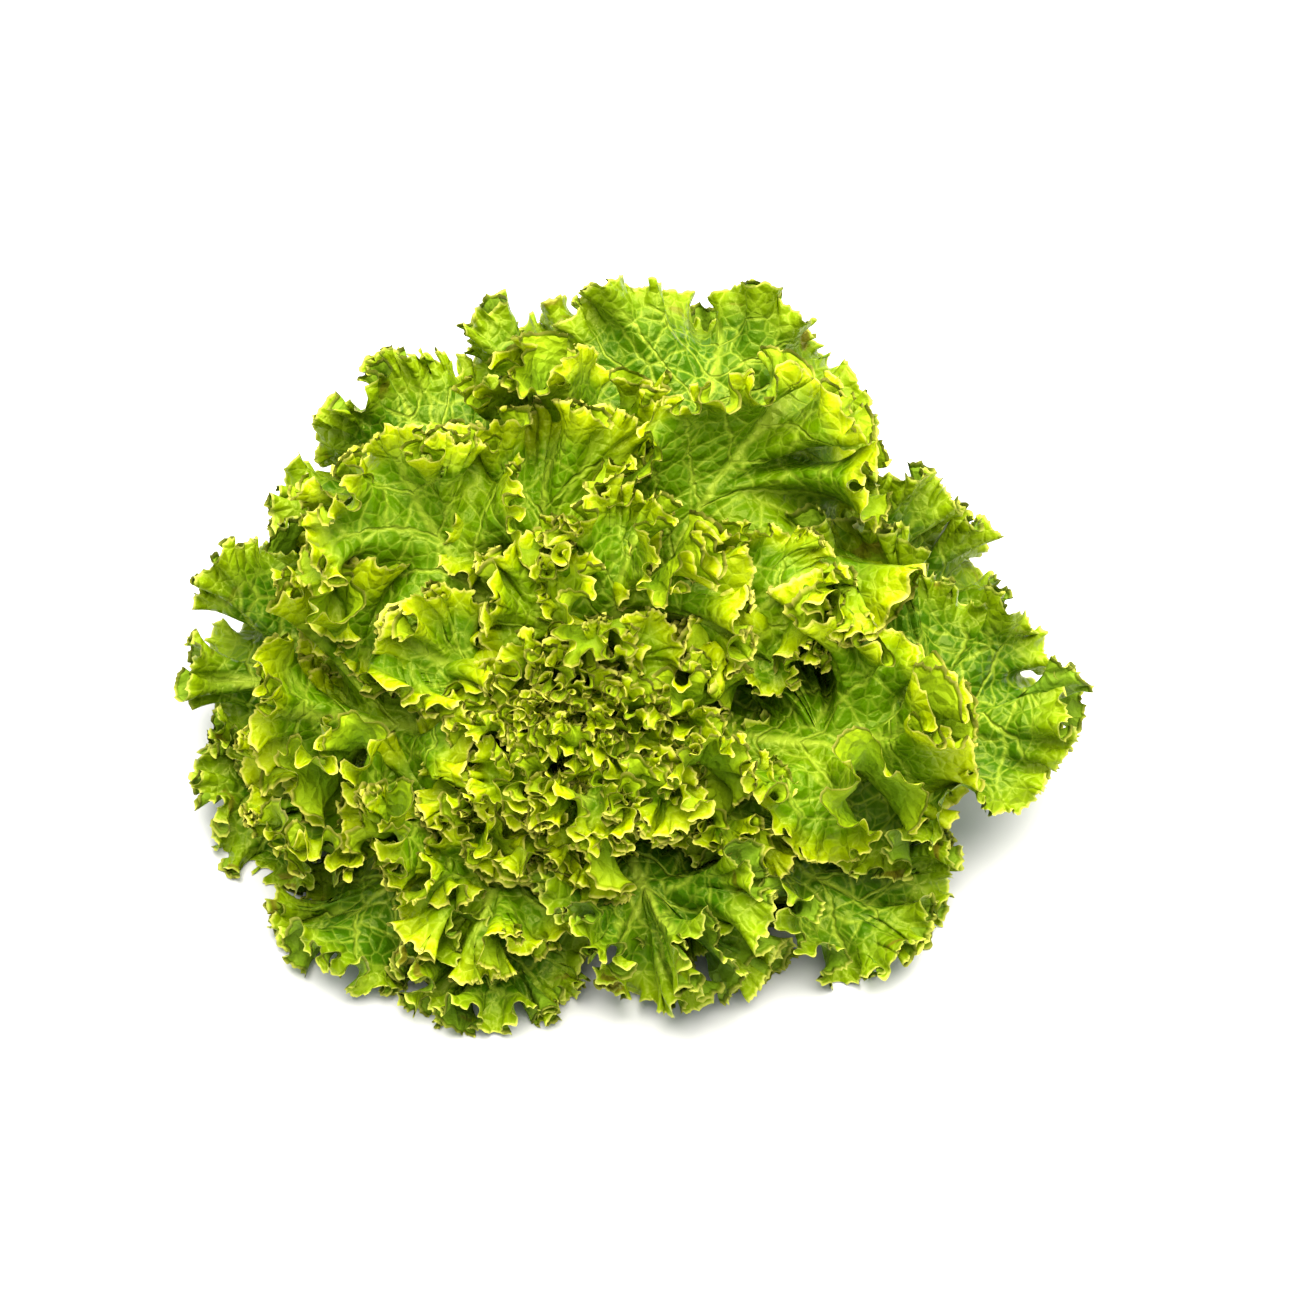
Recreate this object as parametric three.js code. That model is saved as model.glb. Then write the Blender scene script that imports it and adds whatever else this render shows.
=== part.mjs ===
// A head of frilly green leaf lettuce, standing on its cut stem and leaning
// forward. Millimetres, +Z up. The origin is the middle of the cut face, +X is to
// the right of the head and -Y is the way its heart leans.
//
// The leaves spring from a crown just above the cut. Each leaf lies on a cupped
// sheet of its own around the crown. The sheets are nested: the heart leaf's is
// the narrowest, and each next one opens further, down to the outermost leaf,
// which rests on the table. Because the sheets never cross, the leaves don't touch.
import * as THREE from "three";

// ---- Driving dimensions ----
const HEART_COUNT = 14;
const MIDDLE_COUNT = 20;
// From the crown to the tip of each outer leaf. Those at the right and the back are
// the longest, and the head leans on the short ones in front.
const OUTER_REACH = [170, 152, 120, 182, 127, 142, 164, 120, 178, 146, 106, 184];
// How far each of them has swung round the head from its place, in radians.
const OUTER_SWING = [0, 0, 0, 0.06, 0, 0, -0.16, -0.14, -0.12, 0, 0, -0.14];
const CROWN = new THREE.Vector3(-3, -7, 21); // where the leaves spring from
const LEAN = new THREE.Vector3(-0.2, -0.5, 0.85).normalize(); // the heart's direction
const BASE_REACH = 21.5; // from the crown to the foot of every leaf
const HEART_REACH = 66; // from the crown to the tip of the first heart leaf
const DOME_REACH = 122; // the same for the middle leaves at the two sides
const DOME_TILT = 30; // how much longer they are at the back, and shorter in front
const DOME_SHARE = 0.62; // the first share whose leaves reach out to the dome
const HEART_OPENING = 0.1; // the first leaf's: 0 is on the axis, 1 on the table
const OPENING_POWER = 0.85; // below 1, the leaves open sooner near the heart
const HEART_LIFT = 9; // the stem carries the heart leaves this much higher
const CUPPING = 0.72; // how far a sheet is open at its foot, as a share of its rim
const CUP_REACH = 135; // the reach at which it is fully open
const TABLE_DROOP = 0.25; // the outermost leaf's slope below the level, in radians
const REAR_DROOP = -0.45; // the same at the back, where it rises instead
const REAR_START = 0.35; // the sine of the azimuth where the rise begins
const REAR_SPREAD = 0.6; // and how much more of the sine it takes
const SOFT_FLOOR = 6; // how gently a leaf meets the table, in mm
const PRESS = 5; // how far neighbours push each other out of round, in mm
const PRESS_GROWTH = 50; // the length of leaf over which the push sets in
// The push on each axis: two lengths over which its wave turns by a radian, and the
// wave's phase.
const PRESS_X = [25, 32, 0.7];
const PRESS_Y = [24, 30, 2.1];
const PRESS_Z = [27, 23, 4];
const TROUGH = 0.06; // how far a leaf's sides fold up out of its sheet, in shares
const TROUGH_SHARE = 0.3; // the first share with all of it: heart leaves lie closer
const HEART_THICKNESS = 0.45;
const OUTER_THICKNESS = 0.8;
const BELOW_SHEET = 0.25; // the share of the thickness that is under the sheet
const MIDRIB_DEPTH = 1.8; // how far a large leaf's midrib stands out below, at the foot
const MIDRIB_WIDTH = 5; // the distance from its middle at which it has almost gone

const LEAF_COUNT = HEART_COUNT + MIDDLE_COUNT + OUTER_REACH.length;

// ---- The nested sheets ----
// Shares run from 0 at the heart to 1 at the outermost leaf.
const mix = (a, b, share) => a + (b - a) * share;
const smooth = (x) => {
  const s = Math.min(Math.max(x, 0), 1);
  return s * s * (3 - 2 * s);
};

// How far the sheet of a leaf opens, growing a little towards its rim.
function opening(share, reach) {
  const settled = mix(HEART_OPENING, 1, Math.pow(share, OPENING_POWER));
  return settled * mix(CUPPING, 1, smooth(reach / CUP_REACH));
}

// The unit direction that is `open` of the way from the heart's axis to the table,
// towards the compass direction `azimuth`.
function direction(open, azimuth) {
  const atBack = smooth((Math.sin(azimuth) - REAR_START) / REAR_SPREAD);
  const droop = mix(TABLE_DROOP, REAR_DROOP, atBack);
  const down = new THREE.Vector3(
    Math.cos(azimuth) * Math.cos(droop),
    Math.sin(azimuth) * Math.cos(droop),
    -Math.sin(droop),
  );
  const whole = LEAN.angleTo(down);
  return LEAN.clone()
    .multiplyScalar(Math.sin((1 - open) * whole))
    .addScaledVector(down, Math.sin(open * whole))
    .divideScalar(Math.sin(whole));
}

// The leaves push each other about and settle on the table. One slow wave through
// the whole head moves all sheets alike, and a soft floor lifts what would sink
// below it, so the sheets still never cross.
const swell = (a, b, [first, second, phase]) => Math.sin(a / first + b / second + phase);

function pressed({ x, y, z }, reach) {
  const push = PRESS * smooth((reach - BASE_REACH) / PRESS_GROWTH);
  const movedZ = z + push * swell(x, y, PRESS_Z);
  return new THREE.Vector3(
    x + push * swell(y, z, PRESS_X),
    y + push * swell(x, -z, PRESS_Y),
    (movedZ + Math.hypot(movedZ, SOFT_FLOOR)) / 2,
  );
}

// The point of a sheet at a distance and a compass direction from the crown.
function sheetPoint(share, reach, azimuth) {
  const lift = HEART_LIFT * (1 - share);
  const straight = direction(opening(share, reach), azimuth)
    .multiplyScalar(reach)
    .add(CROWN)
    .addScaledVector(LEAN, lift);
  return pressed(straight, reach);
}

// How many millimetres one radian of azimuth is, on a sheet at a distance.
function girth(share, reach, azimuth) {
  const step = 0.01;
  const before = sheetPoint(share, reach, azimuth - step);
  const after = sheetPoint(share, reach, azimuth + step);
  return before.distanceTo(after) / (2 * step);
}

// ---- One leaf ----
const SECTORS = 24; // round the leaf's outline
const RINGS = 3; // from the middle of the blade to its outline
const FOCUS = 0.56; // the middle of the blade, as a share of its length
const PEAR = 0.7; // how much narrower the foot is than the blade
const YOUNG_WIDTH = 0.46; // the first heart leaf's half width, as a share of its length
const GROWN_WIDTH = 0.54; // the same for the leaves from the middle of the head on
const GROWN_SHARE = 0.5;
const GOLDEN_ANGLE = Math.PI * (3 - Math.sqrt(5)); // from one leaf to the next
const FIRST_AZIMUTH = 0.4; // the heart leaf's, in radians from +X
const AZIMUTH_WAVER = 0.14; // how far a leaf strays from its place, in radians
const AZIMUTH_RATE = 2.7; // how fast that runs through the leaves, in radians a leaf
const LENGTH_WAVER = 0.12; // how far a leaf strays from its length, as a share
const LENGTH_RATE = 1.76;

// A leaf's place, length and half width. The leaves stand nearly a golden angle
// apart, and their places and lengths waver a little, as in anything that grew. The
// two waves run at rates that no ring of neighbours shares.
function leafSpec(index) {
  const share = index / (LEAF_COUNT - 1);
  const outer = index - HEART_COUNT - MIDDLE_COUNT; // below 0 for the other leaves
  const stray = AZIMUTH_WAVER * Math.sin(AZIMUTH_RATE * index) + (OUTER_SWING[outer] ?? 0);
  const azimuth = FIRST_AZIMUTH + index * GOLDEN_ANGLE + stray;
  const uneven = 1 + LENGTH_WAVER * Math.sin(LENGTH_RATE * index);
  const domeReach = (DOME_REACH + DOME_TILT * Math.sin(azimuth)) * uneven;
  const reach = OUTER_REACH[outer] ?? mix(HEART_REACH, domeReach, smooth(share / DOME_SHARE));
  const length = reach - BASE_REACH;
  const width = length * mix(YOUNG_WIDTH, GROWN_WIDTH, smooth(share / GROWN_SHARE));
  return { share, azimuth, length, width };
}

// A leaf is a pear-shaped outline: broad at the top, narrow at the foot. `turn` goes
// once round it from the tip, and `out` from the middle of the blade to the outline.
function outlinePoint(leaf, turn, out) {
  const edgeX =
    leaf.width * Math.sin(turn) * (1 - (PEAR * (1 - Math.cos(turn))) / 2);
  const edgeY = (leaf.length * (1 + Math.cos(turn))) / 2;
  const middle = FOCUS * leaf.length;
  return { across: edgeX * out, along: middle + (edgeY - middle) * out };
}

// The point in space for a point of the flat leaf. The sides of a leaf fold up out
// of its sheet, towards the heart.
function leafPoint(leaf, across, along) {
  const reach = BASE_REACH + along;
  const radians = across / girth(leaf.share, reach, leaf.azimuth);
  const folded = TROUGH * smooth(leaf.share / TROUGH_SHARE) * (across / leaf.width) ** 2;
  return sheetPoint(leaf.share - folded, reach, leaf.azimuth + radians);
}

// How far the midrib stands out below the leaf: most at the foot, fading upwards.
function midrib(leaf, across, along) {
  const nearMiddle = Math.exp(-((across / MIDRIB_WIDTH) ** 2));
  const nearFoot = (1 - along / leaf.length) ** 2;
  return MIDRIB_DEPTH * leaf.share * nearMiddle * nearFoot;
}

function leafGeometry(leaf) {
  const upper = [];
  const lower = [];
  const place = (turn, out) => {
    const { across, along } = outlinePoint(leaf, turn, out);
    const here = leafPoint(leaf, across, along);
    const sideways = leafPoint(leaf, across + 1, along).sub(here);
    const outward = leafPoint(leaf, across, along + 1).sub(here);
    const normal = outward.cross(sideways).normalize(); // away from the heart
    const thickness = mix(HEART_THICKNESS, OUTER_THICKNESS, leaf.share);
    const below = BELOW_SHEET * thickness + midrib(leaf, across, along);
    upper.push(here.clone().addScaledVector(normal, (BELOW_SHEET - 1) * thickness));
    lower.push(here.clone().addScaledVector(normal, below));
  };
  place(0, 0);
  for (let ring = 1; ring <= RINGS; ring += 1)
    for (let s = 0; s < SECTORS; s += 1)
      place((2 * Math.PI * s) / SECTORS, ring / RINGS);
  return closedSheet(upper, lower);
}

// A closed body between an upper and a lower copy of a disc of rings.
function closedSheet(upper, lower) {
  const positions = [...upper, ...lower].flatMap((p) => [p.x, p.y, p.z]);
  const under = upper.length;
  const faces = [];
  const vertex = (ring, s) =>
    ring === 0 ? 0 : 1 + (ring - 1) * SECTORS + (s % SECTORS);
  const both = (a, b, c) => {
    faces.push(a, b, c);
    faces.push(under + a, under + c, under + b);
  };
  for (let s = 0; s < SECTORS; s += 1) {
    both(0, vertex(1, s + 1), vertex(1, s));
    for (let ring = 1; ring < RINGS; ring += 1) {
      both(vertex(ring, s), vertex(ring, s + 1), vertex(ring + 1, s));
      both(vertex(ring, s + 1), vertex(ring + 1, s + 1), vertex(ring + 1, s));
    }
    const a = vertex(RINGS, s);
    const b = vertex(RINGS, s + 1);
    faces.push(a, b, under + a, b, under + b, under + a);
  }
  const geometry = new THREE.BufferGeometry();
  geometry.setAttribute("position", new THREE.Float32BufferAttribute(positions, 3));
  geometry.setIndex(faces);
  geometry.computeVertexNormals();
  return geometry;
}

// ---- The stem ----
const STEM_RADIUS = 16;
const STEM_TURNS = 32;
const STEM_TOP = 39;
const STEM_DOME = 18; // the radius of the rounded top round the crown
const CUT_BEVEL = 1; // the broken edge round the cut face
const DOME_START = 14; // the height where the rounded top begins, and its steps
const DOME_STEP = 5;

// A lathed stub with a rounded top, sheared so that it leans from its level cut face
// to the crown.
function stemGeometry() {
  const profile = [
    new THREE.Vector2(0, 0),
    new THREE.Vector2(STEM_RADIUS - CUT_BEVEL, 0),
    new THREE.Vector2(STEM_RADIUS, CUT_BEVEL),
  ];
  for (let height = DOME_START; height < STEM_TOP; height += DOME_STEP)
    profile.push(new THREE.Vector2(Math.sqrt(STEM_DOME ** 2 - (height - CROWN.z) ** 2), height));
  profile.push(new THREE.Vector2(0, STEM_TOP));
  const geometry = new THREE.LatheGeometry(profile, STEM_TURNS);
  const upright = new THREE.Matrix4().makeRotationX(Math.PI / 2);
  const shear = new THREE.Matrix4().set(
    1, 0, CROWN.x / CROWN.z, 0,
    0, 1, CROWN.y / CROWN.z, 0,
    0, 0, 1, 0,
    0, 0, 0, 1,
  );
  return geometry.applyMatrix4(upright).applyMatrix4(shear);
}

// The growing point: the tightly closed youngest leaves, on the head's axis. It
// stands on the stem inside the first heart leaf.
function budGeometry() {
  const profile = [
    [0, 30],
    [1.6, 31.5],
    [2.2, 36],
    [2.4, 41],
    [1.6, 45],
    [0, 47],
  ].map(([radius, height]) => new THREE.Vector2(radius, height));
  const geometry = new THREE.LatheGeometry(profile, 12);
  const along = new THREE.Quaternion().setFromUnitVectors(
    new THREE.Vector3(0, 1, 0),
    LEAN,
  );
  return geometry.applyQuaternion(along).translate(CROWN.x, CROWN.y, CROWN.z);
}

// ---- The head ----
const colours = {
  heart: new THREE.MeshStandardMaterial({ color: 0xb9cc32, roughness: 0.45 }),
  middle: new THREE.MeshStandardMaterial({ color: 0x8fae22, roughness: 0.45 }),
  outer: new THREE.MeshStandardMaterial({ color: 0x5f8a1c, roughness: 0.5 }),
  stem: new THREE.MeshStandardMaterial({ color: 0xd9dfb4, roughness: 0.6 }),
};
const GROUPS = [
  { name: "heart_leaf", count: HEART_COUNT, material: colours.heart },
  { name: "middle_leaf", count: MIDDLE_COUNT, material: colours.middle },
  { name: "outer_leaf", count: OUTER_REACH.length, material: colours.outer },
];

const lettuce = new THREE.Group();

function addPiece(name, geometry, material) {
  const mesh = new THREE.Mesh(geometry, material);
  mesh.name = name;
  lettuce.add(mesh);
}

addPiece("stem_core", stemGeometry(), colours.stem);
addPiece("heart_bud", budGeometry(), colours.heart);
let index = 0; // of the leaf, counted from the heart outwards
for (const group of GROUPS) {
  for (let place = 1; place <= group.count; place += 1) {
    const name = `${group.name}_${String(place).padStart(2, "0")}`;
    addPiece(name, leafGeometry(leafSpec(index)), group.material);
    index += 1;
  }
}

export default lettuce;
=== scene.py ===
# %% [markdown]
# # A head of frilly green leaf lettuce
# The real thing is a rosette: some forty leaves grown in a spiral round a short
# stem, which a knife has cut through. A leaf is a thin sheet, almost flat in the
# middle. Its edge has grown far longer than the blade that carries it, so it
# buckles into waves, and the waves buckle again into smaller ones. This file
# makes every leaf from that idea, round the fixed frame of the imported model.

# %% Load the frame
import math

import bpy
import numpy as np
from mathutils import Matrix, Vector


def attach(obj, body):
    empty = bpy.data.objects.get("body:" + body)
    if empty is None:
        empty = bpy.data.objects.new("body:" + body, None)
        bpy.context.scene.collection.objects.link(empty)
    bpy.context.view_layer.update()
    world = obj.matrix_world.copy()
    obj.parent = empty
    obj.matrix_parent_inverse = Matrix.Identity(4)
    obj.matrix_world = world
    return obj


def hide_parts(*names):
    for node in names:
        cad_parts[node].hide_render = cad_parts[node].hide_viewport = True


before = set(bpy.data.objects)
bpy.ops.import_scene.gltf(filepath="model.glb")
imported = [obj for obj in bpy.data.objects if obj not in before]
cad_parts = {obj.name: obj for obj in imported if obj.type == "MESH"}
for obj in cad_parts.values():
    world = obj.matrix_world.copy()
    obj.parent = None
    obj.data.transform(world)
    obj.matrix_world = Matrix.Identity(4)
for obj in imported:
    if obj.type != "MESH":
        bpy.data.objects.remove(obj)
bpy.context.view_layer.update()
MM = 0.001  # this file works in millimetres, and the meshes are in metres
leaf_nodes = sorted(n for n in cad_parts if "_leaf_" in n)
print("leaves in the frame:", len(leaf_nodes))

# %% [markdown]
# ## Where the leaves lie
# Each leaf of the frame lies on a cupped sheet round the crown of the stem. The
# sheets are nested like bowls, from the narrow one of the first heart leaf to the
# widest one, which lies on the table. The frame's own formulas are used again here,
# on whole arrays of points, so that each leaf comes out in its node's place.

# %% Helpers for numbers and vectors
def mix(a, b, share):
    """The value that is `share` of the way from a to b."""
    return a + (b - a) * share


def smooth(x):
    """An ease from 0 to 1: three x squared less two x cubed, held outside that range."""
    s = np.clip(x, 0, 1)
    return s * s * (3 - 2 * s)


def unit(v):
    """The vectors of an array, each divided by its length."""
    return v / np.maximum(np.linalg.norm(v, axis=-1, keepdims=True), 1e-9)


print("an ease at a quarter and a half of its way:", smooth(0.25), smooth(0.5))

# %% The nested sheets
CROWN = np.array([-3.0, -7.0, 21.0])  # where every sheet starts, inside the stem
LEAN = np.array([-0.2, -0.5, 0.85])  # the heart's axis: it leans to the front
LEAN = LEAN / np.linalg.norm(LEAN)
TABLE_DROOP = 0.25  # how far below level the widest sheet aims, in radians
REAR_DROOP = -0.45  # and at the rear, where it rises
REAR_START, REAR_SPREAD = 0.35, 0.6  # where the rear begins, as a sine of the azimuth


def direction(opened, azimuth):
    """A great-circle arc from the heart's axis down to the table: the sine-weighted
    sum of both end directions, `opened` of the way along."""
    rear = smooth((np.sin(azimuth) - REAR_START) / REAR_SPREAD)
    droop = mix(TABLE_DROOP, REAR_DROOP, rear)
    level = np.cos(droop)
    down = np.stack([np.cos(azimuth) * level, np.sin(azimuth) * level, -np.sin(droop)], -1)
    whole = np.arccos(np.clip(down @ LEAN, -1, 1))[..., None]
    part = opened[..., None] * whole
    return (np.sin(whole - part) * LEAN + np.sin(part) * down) / np.sin(whole)


print("the heart leans", round(math.degrees(math.acos(LEAN[2]))), "degrees from upright")

# %% Sheets pressed on each other and on the table
BASE_REACH = 21.5  # from the crown to the foot of every leaf
HEART_OPENING = 0.1  # how far the first sheet opens, of the way down to the table
OPENING_POWER = 0.85  # below 1, so the sheets open quickly near the heart
CUPPING = 0.72  # how open a sheet is at the crown, as a share of its rim
CUP_REACH = 135.0  # the reach at which it is fully open
HEART_LIFT = 9.0  # how much higher the first leaves start
SOFT_FLOOR = 6.0  # over how much height the table flattens a leaf
PRESS = 5.0  # how far neighbours push each other
PRESS_GROWTH = 50.0  # the distance from the feet over which that push sets in
PRESS_X = (25, 32, 0.7)  # the push in x: its two lengths in y and z, and its phase
PRESS_Y = (24, 30, 2.1)
PRESS_Z = (27, 23, 4.0)


def pressed(points, reach):
    """Neighbours push each other about: one slow wave through the whole head, which
    moves all sheets alike and so keeps them apart, and a floor that flattens it."""
    x, y, z = points[..., 0], points[..., 1], points[..., 2]
    push = PRESS * smooth((reach - BASE_REACH) / PRESS_GROWTH)
    x, y, z = (
        x + push * np.sin(y / PRESS_X[0] + z / PRESS_X[1] + PRESS_X[2]),
        y + push * np.sin(x / PRESS_Y[0] - z / PRESS_Y[1] + PRESS_Y[2]),
        z + push * np.sin(x / PRESS_Z[0] + y / PRESS_Z[1] + PRESS_Z[2]),
    )
    return np.stack([x, y, (z + np.sqrt(z * z + SOFT_FLOOR**2)) / 2], -1)


def sheet_point(share, reach, azimuth):
    """The point of the sheet of a leaf, at a distance and a compass direction from
    the crown. A sheet opens more towards its rim, and the inner ones start higher
    on the stem."""
    settled = mix(HEART_OPENING, 1, share**OPENING_POWER)
    opened = settled * mix(CUPPING, 1, smooth(reach / CUP_REACH))
    lift = np.asarray(HEART_LIFT * (1 - share))[..., None]
    straight = CROWN + LEAN * lift + direction(opened, azimuth) * reach[..., None]
    return pressed(straight, reach)


def girth(share, reach, azimuth):
    """Millimetres for each radian of azimuth, from two points close together."""
    step = 0.01
    before = sheet_point(share, reach, azimuth - step)
    after = sheet_point(share, reach, azimuth + step)
    return np.linalg.norm(after - before, axis=-1) / (2 * step)


heights = sheet_point(np.array([0, 0.5, 1]), np.full(3, 100.0), np.zeros(3))[:, 2]
print("heights 100 mm out on the first, middle and last sheet:", heights.round(1))

# %% [markdown]
# ## The outline of a leaf
# Each leaf grows a golden angle round from the one before it, so no two lie on top of
# each other. It is broad at the top and narrow at the foot, like a pear. One angle
# goes round its outline from the tip, and a second number goes from the middle of the
# blade out to that outline. Such rings suit a leaf whose detail is nearly all at its
# edge.

# %% Places and sizes of the leaves
HEART_COUNT = 14
MIDDLE_COUNT = 20
OUTER_REACH = (170, 152, 120, 182, 127, 142, 164, 120, 178, 146, 106, 184)
OUTER_SWING = (0, 0, 0, 0.06, 0, 0, -0.16, -0.14, -0.12, 0, 0, -0.14)
LEAF_COUNT = HEART_COUNT + MIDDLE_COUNT + len(OUTER_REACH)
HEART_REACH = 66.0  # from the crown to the tip of the first leaf
DOME_REACH = 122.0  # the same for the leaves of the dome, on average
DOME_TILT = 30.0  # how much longer they are at the back, and shorter in front
DOME_SHARE = 0.62  # how far out in the head this reach is arrived at
GOLDEN_ANGLE = math.pi * (3 - math.sqrt(5))
FIRST_AZIMUTH = 0.4
AZIMUTH_WAVER, AZIMUTH_RATE = 0.14, 2.7
LENGTH_WAVER, LENGTH_RATE = 0.12, 1.76
YOUNG_WIDTH, GROWN_WIDTH, GROWN_SHARE = 0.46, 0.54, 0.5
YOUNG_SIZE, FULL_SIZE_SHARE = 0.6, 0.28  # the scale of frills, folds and teeth
SIZE_WAVER, SIZE_RATE = 0.16, 2.3


def leaf_spec(index):
    """Place and size of one leaf, counted from the heart outwards. The outer leaves
    have a reach of their own each, and the dome above them is longer at its back."""
    share = index / (LEAF_COUNT - 1)
    azimuth = FIRST_AZIMUTH + index * GOLDEN_ANGLE
    azimuth += AZIMUTH_WAVER * math.sin(AZIMUTH_RATE * index)
    group, place = "heart", index + 1
    if index >= HEART_COUNT:
        group, place = "middle", index - HEART_COUNT + 1
    if index >= HEART_COUNT + MIDDLE_COUNT:
        group, place = "outer", index - HEART_COUNT - MIDDLE_COUNT + 1
        azimuth += OUTER_SWING[place - 1]
    uneven = 1 + LENGTH_WAVER * math.sin(LENGTH_RATE * index)
    dome_reach = (DOME_REACH + DOME_TILT * math.sin(azimuth)) * uneven
    reach = mix(HEART_REACH, dome_reach, float(smooth(share / DOME_SHARE)))
    if group == "outer":
        reach = OUTER_REACH[place - 1]
    length = reach - BASE_REACH
    breadth = mix(YOUNG_WIDTH, GROWN_WIDTH, float(smooth(share / GROWN_SHARE)))
    size = mix(YOUNG_SIZE, 1.0, float(smooth(share / FULL_SIZE_SHARE)))
    return dict(
        index=index, share=share, azimuth=azimuth, length=length, group=group,
        width=length * breadth, size=size * (1 + SIZE_WAVER * math.sin(SIZE_RATE * index)),
        node=f"{group}_leaf_{place:02d}",
    )


leaves = [leaf_spec(index) for index in range(LEAF_COUNT)]
lengths = [leaf["length"] for leaf in leaves]
print("every leaf has its node:", sorted(leaf["node"] for leaf in leaves) == leaf_nodes)
print(f"they are {min(lengths):.0f} to {max(lengths):.0f} mm long")

# %% Round the outline, and out to it
FOCUS = 0.56  # the middle of the rings, as a share of the length
PEAR = 0.7  # how much narrower the foot is than the top


def outline_point(leaf, turn, out):
    """Flat coordinates across and along the leaf. The outline is a circle whose
    width shrinks towards the foot, and `out` scales it about the blade's middle."""
    edge_x = leaf["width"] * np.sin(turn) * (1 - PEAR * (1 - np.cos(turn)) / 2)
    edge_y = leaf["length"] * (1 + np.cos(turn)) / 2
    middle = FOCUS * leaf["length"]
    return edge_x * out, middle + (edge_y - middle) * out


right_side = outline_point(leaves[-1], np.linspace(0, math.pi, 181), 1)[0]
print(f"before it is frilled, the last leaf is {2 * right_side.max():.0f} mm wide")

# %% [markdown]
# ## Rings that get finer towards the edge
# A frill needs a point about every millimetre, and the middle of a blade only one
# every few. Everything is worked out on the finest grid as whole arrays, and the rings
# further in then keep every second point of it, every fourth, and so on up to every
# thirty-second.

# %% The rings of a leaf
RING_STEPS = np.concatenate(  # their distances from the edge
    [[0, 1.2, 3.0, 5.3, 8.2, 12.0, 16.5, 22.0, 28.5], np.arange(35, 130, 7.0)]
)
COARSER_AT = (2.0, 5.0, 10.0, 20.0, 40.0)  # where the number of points is halved
MEAN_WIDTH = 0.72  # the pear's mean width, as a share of the widest
INNERMOST = 2.5  # the least radius of a ring


def ring_plan(leaf):
    """Where the rings lie, as shares from the middle of the blade to its edge, and the
    length of a whole share: the mean of half the length and of the mean half width."""
    radius = 0.5 * (leaf["length"] * 0.5 + leaf["width"] * MEAN_WIDTH)
    inset = RING_STEPS * leaf["size"]
    inset = inset[inset < radius - INNERMOST]
    return (1 - inset / radius)[::-1], radius


def strides(leaf, insets):
    """How many points of the finest ring each ring steps over: one, doubled for each
    limit that its distance from the edge is past."""
    scaled = insets / leaf["size"]
    doubled = sum((scaled > limit).astype(int) for limit in COARSER_AT)
    return [2 ** int(times) for times in doubled]


print("rings of the first and last leaf:", [len(ring_plan(leaves[i])[0]) for i in (0, -1)])

# %% [markdown]
# ## Chance, made smooth
# No two frills are alike, yet growth never jumps. So random heights are drawn at even
# distances, along a line or on a flat grid, and joined by eases. Each leaf has a seed
# of its own, and so comes out the same every time.

# %% Smooth random curves
def wander(rng, where, spacing):
    """Smooth noise along a line: random heights every `spacing`, joined by eases."""
    low = float(where.min())
    count = int((where.max() - low) / spacing) + 3
    heights = rng.uniform(-1, 1, count)
    cell = (where - low) / spacing
    index = np.clip(cell.astype(int), 0, count - 2)
    return mix(heights[index], heights[index + 1], smooth(cell - index))


def cusps(rng, where, spacing):
    """Points with round valleys between them: one less the size of the smooth noise
    along a line, squared. The noise crosses zero at each point."""
    return (1 - np.abs(wander(rng, where, spacing))) ** 2


trial = cusps(np.random.default_rng(1), np.linspace(0, 100, 1001), 5.0)
print("points on a trial line of 100 mm:", np.sum(np.diff(1 * (trial > 0.9)) == 1))

# %% Hills and a quilt over the flat leaf
SEED_RANGE = (0.1, 0.9)  # where in its square each point of the quilt may lie
GROOVE = 0.55  # how wide the grooves between its cells are, in squares


def on_grid(where, spacing):
    """Places along one axis in squares of the spacing, from the lowest one."""
    return (where - where.min()) / spacing


def hills(rng, x, y, spacing):
    """Smooth noise over the flat leaf: random heights on a square grid, eased."""
    gx, gy = on_grid(x, spacing), on_grid(y, spacing)
    heights = rng.uniform(-1, 1, (int(gx.max()) + 3, int(gy.max()) + 3))
    i, j = gx.astype(int), gy.astype(int)
    u, v = smooth(gx - i), smooth(gy - j)
    low = mix(heights[i, j], heights[i + 1, j], u)
    high = mix(heights[i, j + 1], heights[i + 1, j + 1], u)
    return mix(low, high, v)


def quilt(rng, x, y, spacing):
    """A quilted relief: one random point in each square, and a height that grows
    with the difference between the distances to the nearest two of them."""
    gx, gy = on_grid(x, spacing) + 1, on_grid(y, spacing) + 1
    shape = (int(gx.max()) + 3, int(gy.max()) + 3)
    px, py = rng.uniform(*SEED_RANGE, shape), rng.uniform(*SEED_RANGE, shape)
    i, j = gx.astype(int), gy.astype(int)
    first = np.full(gx.shape, np.inf)
    second = first.copy()
    for di in (-1, 0, 1):
        for dj in (-1, 0, 1):
            a, b = i + di, j + dj
            distance = np.hypot(a + px[a, b] - gx, b + py[a, b] - gy)
            second = np.minimum(second, np.maximum(first, distance))
            first = np.minimum(first, distance)
    return smooth((second - first) / GROOVE)


trial = quilt(np.random.default_rng(1), *np.mgrid[0:100.0, 0:100.0], 16.0)
print(f"grooves cover {(trial < 0.5).mean():.0%} of a trial quilt")

# %% [markdown]
# ## Frills
# A strip that is too long for its place buckles into a meander. Here each step from
# one ring to the next is turned up or down by a wave that runs along the edge, so a
# frill grows out of the blade and keeps its width. Four sizes of this wave are laid
# on each other, each nearer to the edge than the one before it.

# %% Bend a grid of rings
def frame_of(points):
    """Unit vectors round the rings and along the normal, from differences between
    neighbouring points of the whole grid."""
    round_ring = unit(np.roll(points, -1, 1) - np.roll(points, 1, 1))
    outward = np.gradient(points, axis=0)
    return round_ring, unit(np.cross(round_ring, outward))


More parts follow.
